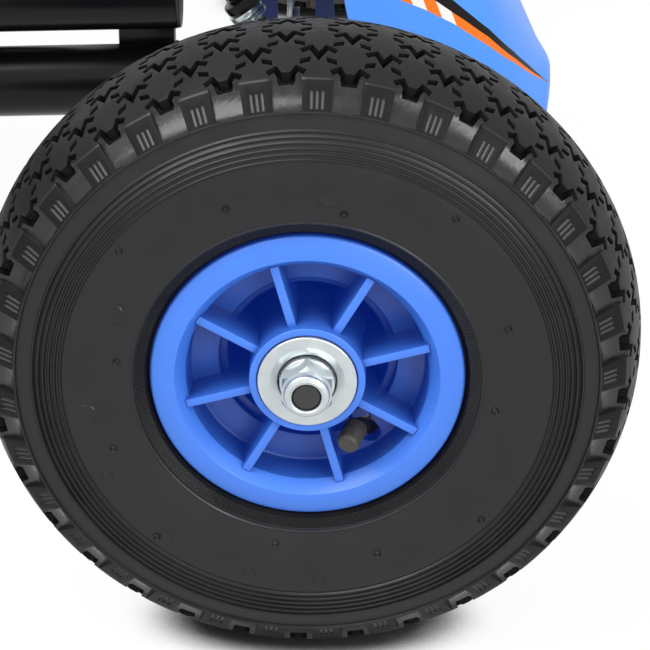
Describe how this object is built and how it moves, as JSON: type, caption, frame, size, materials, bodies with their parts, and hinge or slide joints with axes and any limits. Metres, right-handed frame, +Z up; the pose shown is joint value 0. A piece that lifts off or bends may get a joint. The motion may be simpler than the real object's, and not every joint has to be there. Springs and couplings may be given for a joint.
{
  "type": "pedal go-kart",
  "caption": "Child's pedal go-kart with bucket seat, steering wheel, chain drive, hand brake, plastic nose fairing and pneumatic tyres on ribbed plastic rims.",
  "frame": {"origin": "middle of the footprint on the ground", "axes": "+X forwards, +Y to the driver's left, +Z up"},
  "size_m": [1.0588, 0.7788, 0.5958],
  "materials": {
    "tyre_rubber": "matt moulded rubber",
    "tube_rubber": "smooth butyl rubber",
    "blue_plastic": "satin moulded polypropylene",
    "fairing_plastic": "gloss moulded plastic with printed stripes",
    "zinc_plate": "zinc plated steel",
    "brass": "dull brass",
    "black_paint": "gloss black powder coat on steel",
    "black_plastic": "fine grained moulded plastic",
    "grey_steel": "bare steel",
    "grip_foam": "foamed rubber grip",
    "white_plastic": "natural nylon"
  },
  "bodies": {
    "frame": {"frame_spine": "black_paint", "seat_rail": "black_paint", "front_beam": "black_paint", "rear_carrier": "black_paint", "rear_bearing_right": "grey_steel", "rear_bearing_left": "grey_steel", "crank_bush_right": "white_plastic", "crank_bush_left": "white_plastic", "chain_guard": "black_plastic", "chain": "grey_steel", "column_bush": "white_plastic", "kingpin_right": "zinc_plate", "kingpin_left": "zinc_plate", "fairing": "fairing_plastic", "fairing_bracket": "zinc_plate"},
    "steering": {"steering_shaft": "black_paint", "steering_wheel": "grip_foam"},
    "front_knuckle_right": {"knuckle_right": "black_paint", "axle_nut_front_right": "zinc_plate"},
    "front_knuckle_left": {"knuckle_left": "black_paint", "axle_nut_front_left": "zinc_plate"},
    "rod_right": {"tie_rod_right": "zinc_plate"},
    "rod_left": {"tie_rod_left": "zinc_plate"},
    "front_wheel_right": {"tyre_front_right": "tyre_rubber", "inner_tube_front_right": "tube_rubber", "rim_front_right": "blue_plastic", "bearing_outer_front_right": "zinc_plate", "bearing_inner_front_right": "zinc_plate", "valve_front_right": "brass"},
    "front_wheel_left": {"tyre_front_left": "tyre_rubber", "inner_tube_front_left": "tube_rubber", "rim_front_left": "blue_plastic", "bearing_outer_front_left": "zinc_plate", "bearing_inner_front_left": "zinc_plate", "valve_front_left": "brass"},
    "driven_axle": {"rear_axle": "grey_steel", "rear_sprocket": "grey_steel", "axle_nut_rear_right": "zinc_plate", "axle_nut_rear_left": "zinc_plate", "tyre_rear_left": "tyre_rubber", "inner_tube_rear_left": "tube_rubber", "rim_rear_left": "blue_plastic", "bearing_outer_rear_left": "zinc_plate", "bearing_inner_rear_left": "zinc_plate", "valve_rear_left": "brass"},
    "rear_wheel_right": {"tyre_rear_right": "tyre_rubber", "inner_tube_rear_right": "tube_rubber", "rim_rear_right": "blue_plastic", "bearing_outer_rear_right": "zinc_plate", "bearing_inner_rear_right": "zinc_plate", "valve_rear_right": "brass"},
    "crankset": {"crank": "black_paint", "chainring": "grey_steel"},
    "right_pedal": {"pedal_right": "black_plastic"},
    "left_pedal": {"pedal_left": "black_plastic"},
    "seat_unit": {"seat": "black_plastic", "seat_clamp": "black_paint"},
    "clamp_knob": {"seat_knob": "black_plastic"},
    "brake": {"brake_lever": "black_paint", "brake_shoe": "tyre_rubber"}
  },
  "joints": [
    {"name": "steering_turn", "type": "hinge", "parent": "frame", "child": "steering", "pos_m": [0.385, 0, 0.15], "axis": [-0.5736, 0, 0.8192], "range_deg": [-33, 33]},
    {"name": "knuckle_turn_right", "type": "hinge", "parent": "frame", "child": "front_knuckle_right", "pos_m": [0.424, -0.267, 0.13], "axis": [0, 0, 1], "range_deg": [-24, 24]},
    {"name": "rod_turn_right", "type": "hinge", "parent": "front_knuckle_right", "child": "rod_right", "pos_m": [0.384, -0.267, 0.103], "axis": [0, 0, 1], "range_deg": [-24, 24]},
    {"name": "front_wheel_spin_right", "type": "hinge", "parent": "front_knuckle_right", "child": "front_wheel_right", "pos_m": [0.4, -0.337, 0.13], "axis": [0, 1, 0], "continuous": true},
    {"name": "knuckle_turn_left", "type": "hinge", "parent": "frame", "child": "front_knuckle_left", "pos_m": [0.424, 0.267, 0.13], "axis": [0, 0, 1], "range_deg": [-24, 24]},
    {"name": "rod_turn_left", "type": "hinge", "parent": "front_knuckle_left", "child": "rod_left", "pos_m": [0.384, 0.267, 0.103], "axis": [0, 0, 1], "range_deg": [-24, 24]},
    {"name": "front_wheel_spin_left", "type": "hinge", "parent": "front_knuckle_left", "child": "front_wheel_left", "pos_m": [0.4, 0.337, 0.13], "axis": [0, 1, 0], "continuous": true},
    {"name": "rear_axle_spin", "type": "hinge", "parent": "frame", "child": "driven_axle", "pos_m": [-0.4, 0, 0.13], "axis": [0, 1, 0], "continuous": true},
    {"name": "rear_wheel_spin_right", "type": "hinge", "parent": "driven_axle", "child": "rear_wheel_right", "pos_m": [-0.4, -0.337, 0.13], "axis": [0, 1, 0], "continuous": true},
    {"name": "crank_spin", "type": "hinge", "parent": "frame", "child": "crankset", "pos_m": [0.22, 0, 0.18], "axis": [0, 1, 0], "continuous": true},
    {"name": "pedal_spin_right", "type": "hinge", "parent": "crankset", "child": "right_pedal", "pos_m": [0.11, -0.118, 0.18], "axis": [0, 1, 0], "continuous": true},
    {"name": "pedal_spin_left", "type": "hinge", "parent": "crankset", "child": "left_pedal", "pos_m": [0.33, 0.118, 0.18], "axis": [0, 1, 0], "continuous": true},
    {"name": "seat_slide", "type": "slide", "parent": "frame", "child": "seat_unit", "axis": [0.9996, 0, 0.0276], "range_m": [-0.06, 0.06]},
    {"name": "seat_knob_turn", "type": "hinge", "parent": "seat_unit", "child": "clamp_knob", "pos_m": [-0.14, -0.027, 0.13301], "axis": [0, -1, 0], "range_deg": [0, 180]},
    {"name": "brake_turn", "type": "hinge", "parent": "frame", "child": "brake", "pos_m": [-0.24, 0, 0.07905], "axis": [0, -1, 0], "range_deg": [0, 4]}
  ],
  "couplings": [
    {"joint": "knuckle_turn_right", "follows": "steering_turn", "ratio": 0.727},
    {"joint": "rod_turn_right", "follows": "steering_turn", "ratio": -0.727},
    {"joint": "knuckle_turn_left", "follows": "steering_turn", "ratio": 0.727},
    {"joint": "rod_turn_left", "follows": "steering_turn", "ratio": -0.727},
    {"joint": "crank_spin", "follows": "rear_axle_spin", "ratio": 0.5}
  ]
}
